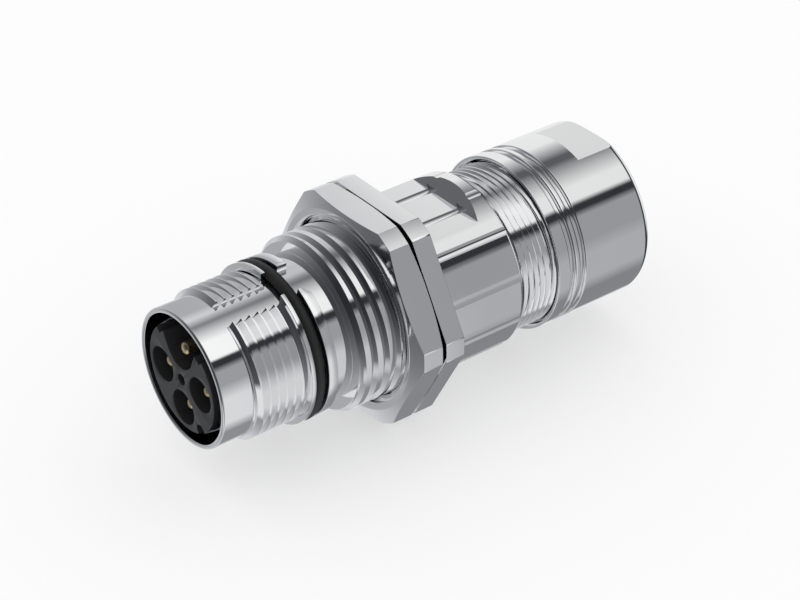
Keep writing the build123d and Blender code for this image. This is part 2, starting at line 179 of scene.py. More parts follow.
def finish_mesh(obj, sharp=28.0, bevel=0.0):
    """Round the machined edges a little and shade the surface smooth."""
    if bevel:
        mod = obj.modifiers.new("edges", "BEVEL")
        mod.width = bevel * MM
        mod.segments = 2
        mod.limit_method = "ANGLE"
        mod.angle_limit = radians(22)
        mod.use_clamp_overlap = True
        apply_modifiers(obj)
    obj.data.shade_smooth()
    obj.data.set_sharp_from_angle(angle=radians(sharp))
    mod = obj.modifiers.new("normals", "WEIGHTED_NORMAL")
    mod.mode = "FACE_AREA_WITH_ANGLE"
    mod.keep_sharp = True
    mod.weight = 60
    apply_modifiers(obj)


def screw(name, span, first, pitch, crest, root, flat, inner, start=-150.0, arc=360.0,
          trim=None, marks=(), gap=(1.0, 0.0), lean=30.0):
    """Right-hand thread with flat crests and flanks that lean so much from the radius.

    first is the station of a tooth's front foot at angle 0. The thread is closed at the
    radius inner, which lies outside it in a nut. trim(r, y) may hold the radius back, and
    marks are the stations where it bends."""
    y0, y1 = span
    flank = (crest - root) * tan(radians(lean))
    corners = [(0, root), (flank, crest), (flank + flat, crest), (2 * flank + flat, root)]
    ends = corners[1:] + [(pitch, root)]
    offsets = [
        a + (b - a) * t / EDGE_PARTS
        for (a, _), (b, _) in zip(corners, ends) for t in range(EDGE_PARTS)
    ]

    def radius(y, lead):
        offset = (y - lead) % pitch
        r = root
        for (a, ra), (b, rb) in zip(corners, corners[1:]):
            if a <= offset < b:
                r = ra + (rb - ra) * (offset - a) / (b - a)
        return trim(r, y) if trim else r

    turns = int((y1 - y0) / pitch) + 4
    below = ceil((first + pitch * (start + arc) / 360 - y0) / pitch + 1) * pitch
    whole = arc > 359.9
    steps = max(8, int(SEGMENTS * arc / 360))
    bm = bmesh.new()
    rings = []
    for j in range(steps + 1):
        angle = start + arc * j / steps
        lead = first + pitch * angle / 360 - below
        stations = [lead + k * pitch + offset for k in range(turns) for offset in offsets]
        stations = sorted([min(max(y, y0), y1) for y in stations] + [y0, *marks, y1])
        ring = [(inner, y0), *[(radius(y, lead), y) for y in stations], (inner, y1)]
        side = 0 if whole else (j == steps) - (j == 0)
        rings.append([bm.verts.new(place(r, y, milled(angle, r, side, gap))) for r, y in ring])
    n = len(rings[0])
    for a, b in zip(rings, rings[1:]):
        for i in range(n):
            k = (i + 1) % n
            bm.faces.new((a[i], a[k], b[k], b[i]))
    if not whole:
        bm.faces.new(rings[0][::-1])
        bm.faces.new(rings[-1])
    bmesh.ops.remove_doubles(bm, verts=bm.verts, dist=2e-7)
    bmesh.ops.dissolve_degenerate(bm, edges=bm.edges, dist=1e-7)
    bmesh.ops.recalc_face_normals(bm, faces=bm.faces)
    return new_object(name, bm)


def inside(obj, outline):
    """Keep only what lies inside a turned shape."""
    cut(obj, lathe("turned", outline), "INTERSECT")
    return obj


# Materials

def new_material(name):
    material = bpy.data.materials.new(name)
    material.use_nodes = True
    nodes = material.node_tree.nodes
    return material, nodes, material.node_tree.links, nodes["Principled BSDF"]


def bump_from(nodes, links, shader, height, strength, distance):
    bump = nodes.new("ShaderNodeBump")
    bump.inputs["Strength"].default_value = strength
    bump.inputs["Distance"].default_value = distance
    links.new(height, bump.inputs["Height"])
    links.new(bump.outputs["Normal"], shader.inputs["Normal"])


def noise_of(nodes, links, scale, detail=3.0, stretch=(1, 1, 1)):
    """Noise in object space, in cycles per metre, drawn out along an axis by stretch."""
    coordinates = nodes.new("ShaderNodeTexCoord")
    mapping = nodes.new("ShaderNodeMapping")
    mapping.inputs["Scale"].default_value = stretch
    noise = nodes.new("ShaderNodeTexNoise")
    noise.inputs["Scale"].default_value = scale
    noise.inputs["Detail"].default_value = detail
    links.new(coordinates.outputs["Object"], mapping.inputs["Vector"])
    links.new(mapping.outputs["Vector"], noise.inputs["Vector"])
    return noise


def spread(nodes, links, value, low, high):
    """Map a 0 to 1 value to a range."""
    span = nodes.new("ShaderNodeMapRange")
    span.inputs["To Min"].default_value = low
    span.inputs["To Max"].default_value = high
    links.new(value, span.inputs["Value"])
    return span.outputs["Result"]


def metal(name, color, dark, roughness, turning):
    """Plated metal: a faint change of colour, patches of gloss, and fine turning marks."""
    material, nodes, links, shader = new_material(name)
    shader.inputs["Metallic"].default_value = 1.0
    cloud = noise_of(nodes, links, 180)
    ramp = nodes.new("ShaderNodeValToRGB")
    ramp.color_ramp.elements[0].position = 0.3
    ramp.color_ramp.elements[0].color = (*dark, 1)
    ramp.color_ramp.elements[1].position = 0.7
    ramp.color_ramp.elements[1].color = (*color, 1)
    links.new(cloud.outputs["Fac"], ramp.inputs["Fac"])
    links.new(ramp.outputs["Color"], shader.inputs["Base Color"])
    haze = noise_of(nodes, links, 420, 5)
    links.new(
        spread(nodes, links, haze.outputs["Fac"], roughness * 0.75, roughness * 1.25),
        shader.inputs["Roughness"],
    )
    rings = noise_of(nodes, links, 60, 2, (1, 160, 1))
    bump_from(nodes, links, shader, rings.outputs["Fac"], turning, TURNING_DEPTH)
    return material


def moulded(name, color, dark, roughness, grain):
    """Moulded plastic or rubber with a fine skin."""
    material, nodes, links, shader = new_material(name)
    cloud = noise_of(nodes, links, 700, 4)
    ramp = nodes.new("ShaderNodeValToRGB")
    ramp.color_ramp.elements[0].position = 0.25
    ramp.color_ramp.elements[0].color = (*dark, 1)
    ramp.color_ramp.elements[1].position = 0.75
    ramp.color_ramp.elements[1].color = (*color, 1)
    links.new(cloud.outputs["Fac"], ramp.inputs["Fac"])
    links.new(ramp.outputs["Color"], shader.inputs["Base Color"])
    links.new(
        spread(nodes, links, cloud.outputs["Fac"], roughness - 0.025, roughness + 0.025),
        shader.inputs["Roughness"],
    )
    skin = noise_of(nodes, links, 9000, 2)
    bump_from(nodes, links, shader, skin.outputs["Fac"], grain, SKIN_DEPTH)
    return material


nickel = metal("bright_nickel", (0.925, 0.928, 0.932), (0.905, 0.91, 0.915), 0.045, 0.05)
nickel_nut = metal("nickel_hexagon", (0.9, 0.905, 0.912), (0.87, 0.877, 0.885), 0.075, 0.08)
rubber = moulded("black_rubber", (0.02, 0.02, 0.021), (0.013, 0.013, 0.014), 0.5, 0.25)
insulator = moulded("dark_insulator", (0.024, 0.024, 0.026), (0.02, 0.02, 0.022), 0.42, 0.2)
cage_plastic = moulded("grey_plastic", (0.13, 0.135, 0.14), (0.1, 0.105, 0.11), 0.45, 0.2)
white_plastic = moulded("white_plastic", (0.78, 0.77, 0.74), (0.7, 0.69, 0.66), 0.4, 0.15)
gold = metal("gold_contact", (1.0, 0.84, 0.5), (0.96, 0.78, 0.44), 0.32, 0.1)
spring = metal("spring_metal", (0.82, 0.78, 0.7), (0.74, 0.7, 0.62), 0.25, 0.2)
FINISH = {
    "plated_metal": nickel,
    "plated_metal_nut": nickel_nut,
    "black_rubber": rubber,
    "insulator": insulator,
    "gold_contact": gold,
    "spring_metal": spring,
    "cage_plastic": cage_plastic,
    "white_plastic": white_plastic,
}


def dress(obj, body, slot, *nodes):
    """Material, body and slot of a new piece, and the CAD nodes that it stands for."""
    obj.data.materials.clear()
    obj.data.materials.append(FINISH[slot])
    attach(obj, body)
    if nodes:
        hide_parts(*nodes)
    return obj


# Studio: what bright metal mirrors. Soft panels run round the axis, each given as the angle
# where it begins, where it ends and its tone, with a blend up to the next one. One list is
# for rays that run well back along the axis and one for rays that run across it. Ahead of
# the connector the studio is a plain grey that grows dark, with one low panel, and behind
# it are two plain tones. All that is not a mirrored ray sees a plain white room. Each blend
# says between which parts of a ray along the axis, or along the low panel, it runs.
PANELS_BACK = (
    (-180, -155, 130), (-143, -58, 230), (-26, -18, 90), (20, 38, 225), (44, 51, 50),
    (59, 90, 150), (108, 145, 170), (165, 180, 130),
)
PANELS_ACROSS = (
    (-180, -162, 140), (-145, -128, 225), (-105, -52, 170), (-38, -35, 205), (-21, -19, 130),
    (10, 38, 245), (42, 50, 50), (59, 80, 155), (103, 145, 215), (165, 180, 140),
)
NICKEL_LEVEL = 0.92
AHEAD_TONES = (40, 55, 70, 85, 100, 120, 140, 160, 180, 205)
AHEAD_SLOPE, AHEAD_LEVEL = (-30, 115, -50), 170
LOW_PANEL, LOW_PANEL_TONE = (0.15, -0.73, -0.67), 222
BEHIND_TONE, FAR_BEHIND_TONE = 60, 238
ACROSS_BLEND, AHEAD_BLEND, LOW_PANEL_BLEND = (0.52, 0.42), (0.32, -0.05), (0.945, 0.975)
BEHIND_BLEND, FAR_BEHIND_BLEND = (0.62, 0.72), (0.87, 0.94)
LEAN_ANGLE, LEAN_BLEND = 4.2, (0.57, 0.42)


def linear(tone):
    c = tone / 255
    return c / 12.92 if c <= 0.04045 else ((c + 0.055) / 1.055) ** 2.4


def panel_color(tone):
    """Light that bright nickel shows as this tone, a little cool below white."""
    cool = 2.5 * min(1, max(0, (225 - tone) / 25))
    return [linear(tone + d * cool) / NICKEL_LEVEL for d in (-0.8, 0, 1.2)] + [1]


def ranged(nodes, links, value, low, high, smooth="SMOOTHSTEP"):
    """0 to 1 as a value runs from low to high."""
    span = nodes.new("ShaderNodeMapRange")
    span.interpolation_type = smooth
    span.inputs["From Min"].default_value = low
    span.inputs["From Max"].default_value = high
    links.new(value, span.inputs["Value"])
    return span.outputs["Result"]


def mixed(nodes, links, factor, a, b):
    """Mix of two colours, each a socket or a plain colour."""
    mix = nodes.new("ShaderNodeMix")
    mix.data_type = "RGBA"
    links.new(factor, mix.inputs["Factor"])
    for socket, value in ((mix.inputs[6], a), (mix.inputs[7], b)):
        if isinstance(value, bpy.types.NodeSocket):
            links.new(value, socket)
        else:
            socket.default_value = value
    return mix.outputs[2]


def arithmetic(nodes, links, operation, a, b):
    """Result of an operation on two values, each a socket or a plain number."""
    node = nodes.new("ShaderNodeMath")
    node.operation = operation
    for socket, value in zip(node.inputs, (a, b)):
        if isinstance(value, bpy.types.NodeSocket):
            links.new(value, socket)
        else:
            socket.default_value = value
    return node.outputs["Value"]


def tone_ramp(nodes, links, factor, stops):
    """Colour ramp through (place, tone) stops."""
    ramp = nodes.new("ShaderNodeValToRGB")
    elements = ramp.color_ramp.elements
    for i, (where, tone) in enumerate(stops):
        ends = {0: elements[0], len(stops) - 1: elements[-1]}
        stop = ends[i] if i in ends else elements.new(where)
        stop.position = where
        stop.color = panel_color(tone)
    links.new(factor, ramp.inputs["Fac"])
    return ramp.outputs["Color"]


def weighed(nodes, links, split, weights, total=0.0):
    """Weighted sum of a direction's three parts."""
    for name, weight in zip("XYZ", weights):
        part = arithmetic(nodes, links, "MULTIPLY", split.outputs[name], weight)
        total = arithmetic(nodes, links, "ADD", part, total)
    return total


def studio_world():
    """Panels for mirrored rays, chosen by the direction of the ray."""
    world = bpy.data.worlds.new("studio")
    bpy.context.scene.world = world
    world.use_nodes = True
    world.cycles.sampling_method = "NONE"
    nodes, links = world.node_tree.nodes, world.node_tree.links
    nodes.clear()
    coordinates = nodes.new("ShaderNodeTexCoord")
    split = nodes.new("ShaderNodeSeparateXYZ")
    links.new(coordinates.outputs["Generated"], split.inputs["Vector"])
    angle = arithmetic(nodes, links, "ARCTAN2", split.outputs["X"], split.outputs["Z"])
    turn = ranged(nodes, links, angle, -pi, pi, "LINEAR")
    # The edges of the panels lean a little: they turn by this angle between the lists.
    lean = ranged(nodes, links, split.outputs["Y"], *LEAN_BLEND, "LINEAR")
    shift = arithmetic(nodes, links, "MULTIPLY", lean, LEAN_ANGLE / 360)
    leaning = arithmetic(nodes, links, "SUBTRACT", turn, shift)
    rounds = [
        [((edge + 180) / 360, tone) for *edges, tone in panels for edge in edges]
        for panels in (PANELS_BACK, PANELS_ACROSS)
    ]
    back, across = [tone_ramp(nodes, links, leaning, stops) for stops in rounds]
    y = split.outputs["Y"]
    color = mixed(nodes, links, ranged(nodes, links, y, *ACROSS_BLEND, "LINEAR"), back, across)
    low, high = AHEAD_TONES[0], AHEAD_TONES[-1]
    tone = weighed(nodes, links, split, AHEAD_SLOPE, AHEAD_LEVEL)
    grade = ranged(nodes, links, tone, low, high, "LINEAR")
    ahead = tone_ramp(nodes, links, grade, [((t - low) / (high - low), t) for t in AHEAD_TONES])
    near_low = ranged(nodes, links, weighed(nodes, links, split, LOW_PANEL), *LOW_PANEL_BLEND)
    ahead = mixed(nodes, links, near_low, ahead, panel_color(LOW_PANEL_TONE))
    color = mixed(nodes, links, ranged(nodes, links, y, *AHEAD_BLEND), color, ahead)
    behind = ranged(nodes, links, y, *BEHIND_BLEND)
    color = mixed(nodes, links, behind, color, panel_color(BEHIND_TONE))
    far_behind = ranged(nodes, links, y, *FAR_BEHIND_BLEND)
    color = mixed(nodes, links, far_behind, color, panel_color(FAR_BEHIND_TONE))
    path = nodes.new("ShaderNodeLightPath")
    color = mixed(nodes, links, path.outputs["Is Glossy Ray"], (1, 1, 1, 1), color)
    background = nodes.new("ShaderNodeBackground")
    links.new(color, background.inputs["Color"])
    output = nodes.new("ShaderNodeOutputWorld")
    links.new(background.outputs["Background"], output.inputs["Surface"])


studio_world()
bpy.context.scene.view_settings.view_transform = "Standard"


def floor_material():
    """Pale floor with a soft shadow. Mirrored rays pass it and see the studio's panels."""
    material, nodes, links, shader = new_material("floor")
    shader.inputs["Base Color"].default_value = (0.97, 0.97, 0.97, 1)
    shader.inputs["Roughness"].default_value = 1.0
    shader.inputs["Specular IOR Level"].default_value = 0.0
    glow = nodes.new("ShaderNodeEmission")
    clear = nodes.new("ShaderNodeBsdfTransparent")
    path = nodes.new("ShaderNodeLightPath")
    half = arithmetic(nodes, links, "MULTIPLY", path.outputs["Is Camera Ray"], 0.5)
    bright = nodes.new("ShaderNodeMixShader")
    links.new(half, bright.inputs["Fac"])
    links.new(shader.outputs["BSDF"], bright.inputs[1])
    links.new(glow.outputs["Emission"], bright.inputs[2])
    mix = nodes.new("ShaderNodeMixShader")
    links.new(path.outputs["Is Glossy Ray"], mix.inputs["Fac"])
    links.new(bright.outputs["Shader"], mix.inputs[1])
    links.new(clear.outputs["BSDF"], mix.inputs[2])
    links.new(mix.outputs["Shader"], nodes["Material Output"].inputs["Surface"])
    return material


FLOOR_Z, FLOOR_REACH = -12.0, 3.0
bm = bmesh.new()
corners = ((-1, -1), (1, -1), (1, 1), (-1, 1))
bm.faces.new([bm.verts.new((x * FLOOR_REACH, y * FLOOR_REACH, FLOOR_Z * MM)) for x, y in corners])
floor = new_object("floor", bm)
floor.data.materials.append(floor_material())

# Camera at the photograph's place, worked out from the rims, the hexagon and the axis.
AZIMUTH, ELEVATION, ROLL = radians(53.5746), radians(33.6344), radians(-1.0777)
DISTANCE, TARGET_Y = 245.99, 25.0
SIDEWAYS, RAISED = -2.3428, 0.4985
LENS, SENSOR = 103.05, 36.0
forward = Vector((
    -sin(AZIMUTH) * cos(ELEVATION), cos(AZIMUTH) * cos(ELEVATION), -sin(ELEVATION)
))
level_right = Vector((cos(AZIMUTH), sin(AZIMUTH), 0))
level_up = level_right.cross(forward)
right = level_right * cos(ROLL) + level_up * sin(ROLL)
up = level_up * cos(ROLL) - level_right * sin(ROLL)
camera = bpy.data.objects.new("camera", bpy.data.cameras.new("camera"))
camera.data.lens = LENS
camera.data.sensor_width = SENSOR
camera.data.clip_start = 0.005
spot = Vector((0, TARGET_Y, 0)) - forward * DISTANCE - right * SIDEWAYS - up * RAISED
camera.matrix_world = (
    Matrix.Translation(spot * MM) @ Matrix((right, up, -forward)).transposed().to_4x4()
)
bpy.context.scene.collection.objects.link(camera)
bpy.context.scene.camera = camera

# The shell: sleeve, quick-lock thread and collars in two segments, neck, panel thread
# and hexagon flange.
SLEEVE_R, BORE_R = 7.79, 7.2
WEB_R, WEB_Y, WEB_END_Y = 6.05, 8.2, 9.4
INSERT_BORE_R, INSERT_SEAT_Y, REAR_BORE_R = 7.0, 14.5, 8.2
COLLAR_R, NECK_R = 9.0, 8.24
FRONT_COLLAR_Y, GROOVE_Y, COLLAR_Y, COLLAR_END_Y = 10.04, 10.54, 12.12, 13.26
GROOVE_R = 7.7
# The rings that lie on the sleeve reach below it, to this radius.
UNDER_R = 7.6
THREAD_Y, THREAD_END_Y = 3.62, 9.85
COUPLING_TOOTH = (3.65, 1.0, 8.43, 7.69, 0.12)
PANEL_Y, PANEL_R, PANEL_ROOT_R = 15.58, 9.95, 9.53
PANEL_TOOTH = (15.35, 1.5, PANEL_R, PANEL_ROOT_R, 0.66)
NUT_ROOM = 0.03
FLANGE_Y, FLANGE_END_Y = 24.0, 26.35
HEX_HALF, HEX_TURNED_R = 12.0, 13.25
THREAD_GAP, THREAD_MIDDLE = 22.0, 17.5
COLLAR_GAP, COLLAR_MIDDLE = 26.0, 14.0

core = lathe("core", [
    (BORE_R, 0, 0.2), (SLEEVE_R, 0, 0.26), (SLEEVE_R, THREAD_Y, 0), (UNDER_R, THREAD_Y, 0),
    (UNDER_R, THREAD_END_Y, 0), (SLEEVE_R, THREAD_END_Y, 0), (SLEEVE_R, GROOVE_Y, 0),
    (GROOVE_R, GROOVE_Y, 0), (GROOVE_R, COLLAR_Y - 0.02, 0), (NECK_R, COLLAR_Y - 0.02, 0.05),
    (NECK_R, PANEL_Y + 0.01, 0.05),
    (9.3, PANEL_Y + 0.01, 0), (9.3, FLANGE_END_Y, 0), (REAR_BORE_R, FLANGE_END_Y, 0),
    (REAR_BORE_R, INSERT_SEAT_Y, 0), (INSERT_BORE_R, INSERT_SEAT_Y, 0),
    (INSERT_BORE_R, WEB_END_Y, 0), (WEB_R, WEB_END_Y, 0), (WEB_R, WEB_Y, 0.1),
    (BORE_R, WEB_Y, 0.1),
])


def clipped_corner(r, y, angle):
    """Corner that is cut off the rear collar where it begins."""
    return y - max(0, 0.6 - angle * 0.14) if y > 13 else y


def coupling_trim(r, y):
    """Chamfered start of the quick-lock thread."""
    return min(r, 7.84 + (y - THREAD_Y) * 1.4)


segments = []
for half in (0, 180):
    begin = THREAD_MIDDLE + THREAD_GAP / 2 + half
    segments.append(screw(
        "coupling_thread", (THREAD_Y, THREAD_END_Y), *COUPLING_TOOTH, 7.5,
        begin, 180 - THREAD_GAP, coupling_trim, (4.04,), (SLEEVE_R, THREAD_GAP / 2),
    ))
    segments.append(lathe("sleeve_gap", [
        (7.4, THREAD_Y, 0), (SLEEVE_R, THREAD_Y, 0), (SLEEVE_R, THREAD_END_Y, 0),
        (7.4, THREAD_END_Y, 0),
    ], begin - THREAD_GAP, THREAD_GAP))
    begin, arc = COLLAR_MIDDLE + COLLAR_GAP / 2 + half, 180 - COLLAR_GAP
    segments.append(lathe("front_collar", [
        (UNDER_R, FRONT_COLLAR_Y, 0), (COLLAR_R, FRONT_COLLAR_Y, 0.05), (COLLAR_R, GROOVE_Y, 0.05),
        (UNDER_R, GROOVE_Y, 0),
    ], begin, arc, gap=(SLEEVE_R, COLLAR_GAP / 2)))
    segments.append(lathe("rear_collar", [
        (UNDER_R, COLLAR_Y, 0), (COLLAR_R, COLLAR_Y, 0.08), (COLLAR_R, COLLAR_END_Y, 0.03),
        (UNDER_R, COLLAR_END_Y, 0),
    ], begin, arc, back=clipped_corner, gap=(NECK_R, COLLAR_GAP / 2)))


def panel_trim(r, y):
    """Chamfered start of the panel thread, and its run-out groove before the flange."""
    run_out = max(PANEL_ROOT_R, PANEL_R - (y - 22.6) * 2)
    return min(r, 9.45 + y - PANEL_Y, run_out)


panel_thread = screw(
    "panel_thread", (PANEL_Y, 24.2), *PANEL_TOOTH, 8.3,
    trim=panel_trim, marks=(16.08, 22.6, 22.81), lean=45,
)
flange = prism("flange", regular(6, HEX_HALF), FLANGE_Y, FLANGE_END_Y)
inside(flange, [
    (8.4, FLANGE_Y - 1, 0), (HEX_TURNED_R, FLANGE_Y - 1, 0),
    (HEX_TURNED_R, FLANGE_END_Y + 1, 0), (8.4, FLANGE_END_Y + 1, 0),
])
for piece in [core, panel_thread, *segments]:
    finish_mesh(piece, 24.0)
finish_mesh(flange, 24.0, 0.05)
shell = join("shell", [core, panel_thread, flange, *segments])
dress(shell, "coupler", "plated_metal", "coupler_shell")


def nut_tooth(first, pitch, crest, root, flat):
    """Tooth of a nut that runs on such a thread."""
    return first, pitch, crest + NUT_ROOM, root + NUT_ROOM, flat


# The lock nut: hexagon inside a profile coned on both sides, with a countersunk and
# threaded bore and a pocket behind for the panel's seal.
NUT_Y, NUT_END_Y = 20.53, 23.86
CONE, REAR_CONE = 0.5675, 0.36
SINK_R, SINK_RUN = 10.75, 0.35
POCKET_R, POCKET_Y = 10.93, 23.07
hexagon = prism("hexagon", regular(6, HEX_HALF), NUT_Y - 0.5, NUT_END_Y + 0.5)
inside(hexagon, [
    (SINK_R, NUT_Y, 0.05), (11.45, NUT_Y, 0.06), (HEX_TURNED_R, NUT_Y + CONE, 0),
    (HEX_TURNED_R, NUT_END_Y - REAR_CONE, 0), (12.05, NUT_END_Y, 0),
    (POCKET_R, NUT_END_Y, 0), (POCKET_R, POCKET_Y, 0),
    (SINK_R - SINK_RUN, POCKET_Y, 0), (SINK_R - SINK_RUN, NUT_Y + SINK_RUN, 0),
])
finish_mesh(hexagon, 16.0, 0.05)
nut_thread = screw(
    "nut_thread", (NUT_Y + SINK_RUN, POCKET_Y), *nut_tooth(*PANEL_TOOTH), 10.5,
    trim=lambda r, y: max(r, SINK_R + NUT_Y - y), lean=45,
)
finish_mesh(nut_thread, 24.0)
lock_nut = join("jam_nut", [hexagon, nut_thread])
dress(lock_nut, "lock_nut", "plated_metal_nut", "lock_nut")

# The rear housing: fluted barrel with two wrench flats, nose with a groove for its ring,
# and spigot with the rear thread.
BARREL_R, BARREL_END_Y = 10.2, 36.9
BARREL_BORE_R, SHOULDER_Y = 7.0, 36.8
NOSE_R, NOSE_BORE_R, NOSE_Y, NOSE_BORE_END_Y = 8.15, 6.6, 19.2, 28.0
RING_FLOOR_R, RING_Y, RING_END_Y = 7.2, 24.6, 25.6
SPIGOT_BORE_R, SPIGOT_END_Y = 8.2, 45.4
FLUTE_R, FLUTE_DEPTH, FLAT_FLUTE_X = 1.25, 0.11, 2.6
FLAT_Z, WALL_Y, WALL_RUN = 8.5, 34.15, 1.2
REAR_TOOTH = (37.0, 0.75, 9.45, 8.9, 0.1)


def fluted_outline(radius, middles):
    """Circle with a shallow round flute at each angle."""
    centre = radius - FLUTE_DEPTH + FLUTE_R
    reach = acos((centre ** 2 + radius ** 2 - FLUTE_R ** 2) / (2 * centre * radius))
    angles = set()
    for middle in middles:
        m = radians(middle)
        angles |= {m + reach * t / 5 for t in range(-5, 6)}
    angles |= {
        radians(a) for a in range(0, 360, 2)
        if min(abs(radians(a - m)) for m in middles) > reach * 1.15
    }
    points = []
    for a in sorted(angles):
        off = min((abs(a - radians(m)) for m in middles))
        r = radius
        if off < reach:
            r = centre * cos(off) - sqrt(FLUTE_R ** 2 - (centre * sin(off)) ** 2)
        points.append((r * sin(a), r * cos(a)))
    return points


barrel = prism(
    "barrel", fluted_outline(BARREL_R, [15 + 30 * k for k in range(12)]),
    FLANGE_END_Y, BARREL_END_Y + 0.5,
)
inside(barrel, [
    (BARREL_BORE_R, FLANGE_END_Y, 0), (BARREL_R + 0.02, FLANGE_END_Y, 0.06),
    (BARREL_R + 0.02, BARREL_END_Y, 0.9), (9.0, BARREL_END_Y, 0),
    (SPIGOT_BORE_R, BARREL_END_Y, 0), (SPIGOT_BORE_R, SHOULDER_Y, 0),
    (BARREL_BORE_R, SHOULDER_Y, 0),
])
for side in (1, -1):
    top = side * (BARREL_R + 1)
    bm = bmesh.new()
    profile = [
        (FLANGE_END_Y - 1, side * FLAT_Z), (WALL_Y, side * FLAT_Z),
        (WALL_Y + WALL_RUN, side * BARREL_R), (WALL_Y + WALL_RUN, top),
        (FLANGE_END_Y - 1, top),
    ]
    rows = [[bm.verts.new(Vector((x, y, z)) * MM) for y, z in profile] for x in (-11, 11)]
    for i in range(5):
        k = (i + 1) % 5
        bm.faces.new((rows[0][i], rows[0][k], rows[1][k], rows[1][i]))
    bm.faces.new(rows[0][::-1])
    bm.faces.new(rows[1])
    bmesh.ops.recalc_face_normals(bm, faces=bm.faces)
    cut(barrel, new_object("flat_cutter", bm))
    for x in (-FLAT_FLUTE_X, FLAT_FLUTE_X):
        centre_z = side * (FLAT_Z - FLUTE_DEPTH + FLUTE_R)
        flute = circle_at(x, centre_z, FLUTE_R, 48)
        cut(barrel, prism("flute_cutter", flute, FLANGE_END_Y - 1, WALL_Y + 0.25))
finish_mesh(barrel, 14.0)
rear_thread = screw(
    "rear_thread", (36.7, SPIGOT_END_Y), *REAR_TOOTH, 8.5,
    trim=lambda r, y: min(r, 8.9 + (45.5 - y) * 1.2), marks=(45.04,),
)
finish_mesh(rear_thread, 24.0)
spigot = lathe("spigot", [
    (SPIGOT_BORE_R, SPIGOT_END_Y, 0.1), (8.88, SPIGOT_END_Y, 0.1), (8.6, SHOULDER_Y, 0),
    (SPIGOT_BORE_R, SHOULDER_Y, 0),
])
finish_mesh(spigot, 24.0)
nose = lathe("nose", [
    (NOSE_BORE_R, NOSE_Y, 0), (NOSE_R, NOSE_Y, 0.1), (NOSE_R, RING_Y, 0), (RING_FLOOR_R, RING_Y, 0),
    (RING_FLOOR_R, RING_END_Y, 0), (NOSE_R, RING_END_Y, 0), (NOSE_R, FLANGE_END_Y + 0.1, 0),
    (7.4, FLANGE_END_Y + 0.1, 0), (7.4, NOSE_BORE_END_Y, 0), (NOSE_BORE_R, NOSE_BORE_END_Y, 0),
])
finish_mesh(nose, 24.0)
housing = join("housing", [barrel, rear_thread, spigot, nose])
dress(housing, "coupler", "plated_metal", "rear_housing")

# The gland nut: two grooves in the skirt, rounded ends and two wrench flats.
GLAND_R, GLAND_Y, GLAND_END_Y = 10.2, 41.8, 55.0
ROOM_END_Y, REAR_WALL_Y = 49.3, 53.3
GLAND_BORE_R, OPENING_R, OPENING_EDGE = 8.7, 5.6, 0.6
GLAND_FLAT_Z, GLAND_FLAT_Y = 9.5, 49.75
GROOVE_STARTS, GROOVE_WIDTH, GROOVE_DEPTH = (43.53, 44.96), 0.62, 0.42
MOUTH_R, MOUTH_RUN = 9.9, 0.35
outline = [(MOUTH_R, GLAND_Y, 0.1), (GLAND_R, GLAND_Y, 0.3)]
for start in GROOVE_STARTS:
    end = start + GROOVE_WIDTH
    outline += [
        (GLAND_R, start - 0.05, 0.17), (GLAND_R - GROOVE_DEPTH, start, 0.12),
        (GLAND_R - GROOVE_DEPTH, end, 0.12), (GLAND_R, end + 0.05, 0.17),
    ]
outline += [
    (GLAND_R, GLAND_END_Y, 0.85), (OPENING_R + OPENING_EDGE, GLAND_END_Y, 0.1),
    (OPENING_R, GLAND_END_Y - OPENING_EDGE, 0.1), (OPENING_R, REAR_WALL_Y, 0),
    (GLAND_BORE_R, REAR_WALL_Y, 0), (GLAND_BORE_R, ROOM_END_Y, 0),
    (MOUTH_R - MOUTH_RUN, ROOM_END_Y, 0), (MOUTH_R - MOUTH_RUN, GLAND_Y + MOUTH_RUN, 0),
]
gland = lathe("gland", outline)
for side in (1, -1):
    z0, z1 = side * GLAND_FLAT_Z, side * (GLAND_FLAT_Z + 2)
    flat = [(-11, z0), (11, z0), (11, z1), (-11, z1)]
    cut(gland, prism("flat_cutter", flat, GLAND_FLAT_Y, GLAND_END_Y + 1))
finish_mesh(gland, 16.0, 0.035)
gland_thread = screw(
    "gland_thread", (GLAND_Y + MOUTH_RUN, 46.5), *nut_tooth(*REAR_TOOTH), 9.7,
    trim=lambda r, y: max(r, MOUTH_R + GLAND_Y - y),
)
finish_mesh(gland_thread, 24.0)
gland = join("gland", [gland, gland_thread])
dress(gland, "gland_nut", "plated_metal_nut", "gland_nut")
# The slot is the record's, but the photo shows this nut as bright as the shell.
gland.data.materials[0] = nickel

# Rubber ring between the collars
ring_r, ring_y, ring_half = 8.37, 11.26, 0.66
front_ring = lathe("front_ring", [
    (ring_r + ring_half * cos(2 * pi * t / 28), ring_y + ring_half * sin(2 * pi * t / 28), 0)
    for t in range(28)
])
finish_mesh(front_ring, 60.0)
dress(front_ring, "coupler", "black_rubber", "front_o_ring")

# The mating insert: three wells, the flared slot with its stepped lip, the coding groove
# and the centre hole.
INSERT_R, BODY_R, BODY_END_Y = 6.0, 6.95, 13.2
SEAL_FLOOR_R, SEAL_Y, SEAL_END_Y = 6.1, 10.75, 11.65
PIN_R, PE_PIN_R, PIN_ROOM = 0.6, 0.72, 0.02


